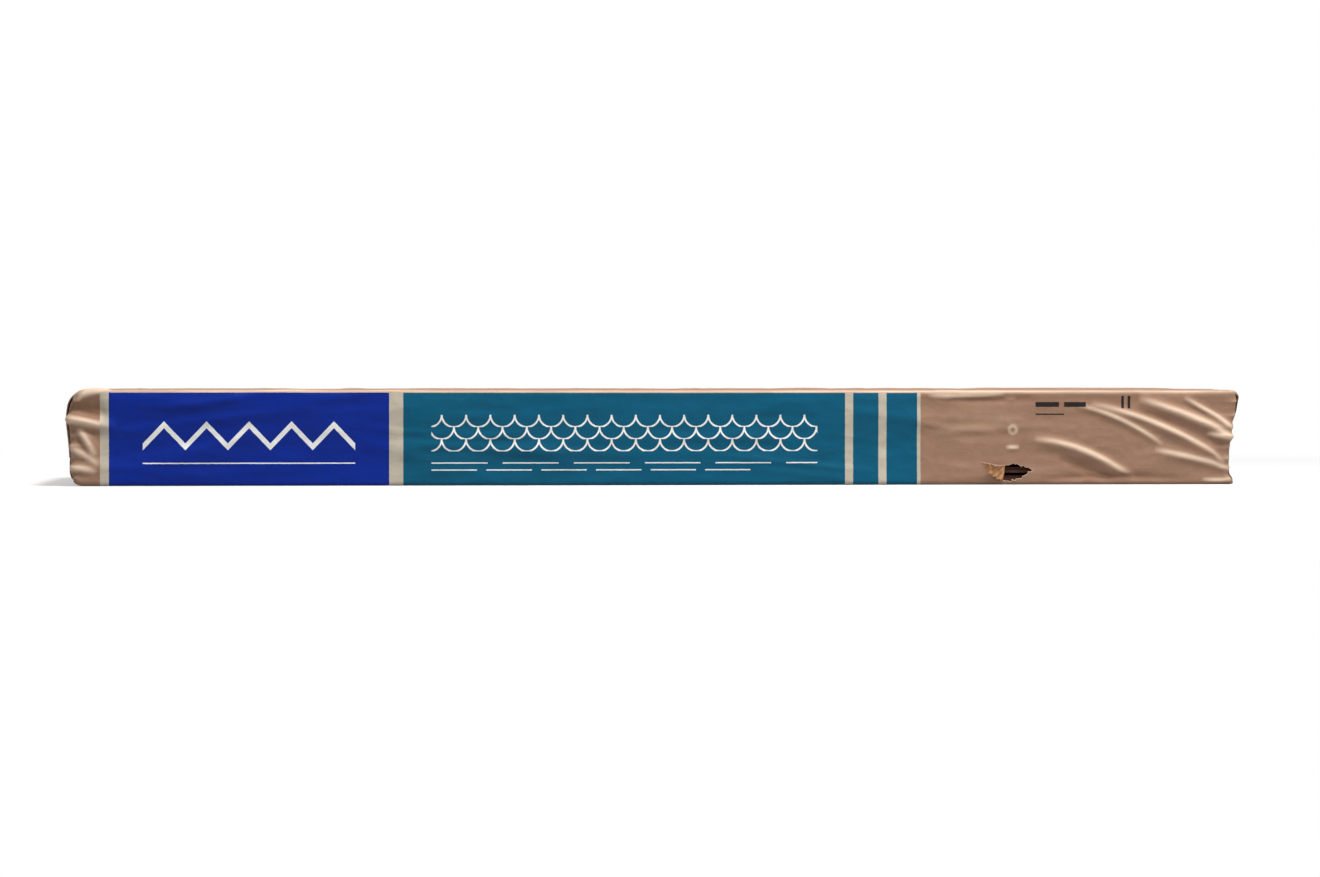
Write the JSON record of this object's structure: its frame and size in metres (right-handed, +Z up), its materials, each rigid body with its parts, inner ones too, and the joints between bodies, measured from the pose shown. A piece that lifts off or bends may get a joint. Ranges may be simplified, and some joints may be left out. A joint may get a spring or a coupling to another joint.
{
  "type": "asphalt shingle bundle",
  "caption": "Flat bundle of laminated asphalt roof shingles, stacked in nested pairs and wrapped in folded kraft paper with printed colour bands, for stacking on a roof or pallet",
  "frame": {"origin": "middle of the underside, on the surface that the bundle lies on", "axes": "+X along the bundle's length, -Y out of its front long side, +Z up, square to the flat shingles"},
  "size_m": [1.0104, 0.3452, 0.0814],
  "materials": {
    "kraft_paper": "satin kraft paper with glossy printed bands",
    "asphalt_shingle": "mineral granules pressed into asphalt, matte"
  },
  "bodies": {
    "root": {"paper_wrapper": "kraft_paper", "shingle_01": "asphalt_shingle", "shingle_02": "asphalt_shingle", "shingle_03": "asphalt_shingle", "shingle_04": "asphalt_shingle", "shingle_05": "asphalt_shingle", "shingle_06": "asphalt_shingle", "shingle_07": "asphalt_shingle", "shingle_08": "asphalt_shingle", "shingle_09": "asphalt_shingle", "shingle_10": "asphalt_shingle", "shingle_11": "asphalt_shingle", "shingle_12": "asphalt_shingle", "shingle_13": "asphalt_shingle", "shingle_14": "asphalt_shingle", "shingle_15": "asphalt_shingle", "shingle_16": "asphalt_shingle", "shingle_17": "asphalt_shingle", "shingle_18": "asphalt_shingle", "shingle_19": "asphalt_shingle", "shingle_20": "asphalt_shingle", "shingle_21": "asphalt_shingle", "shingle_22": "asphalt_shingle"}
  },
  "joints": []
}
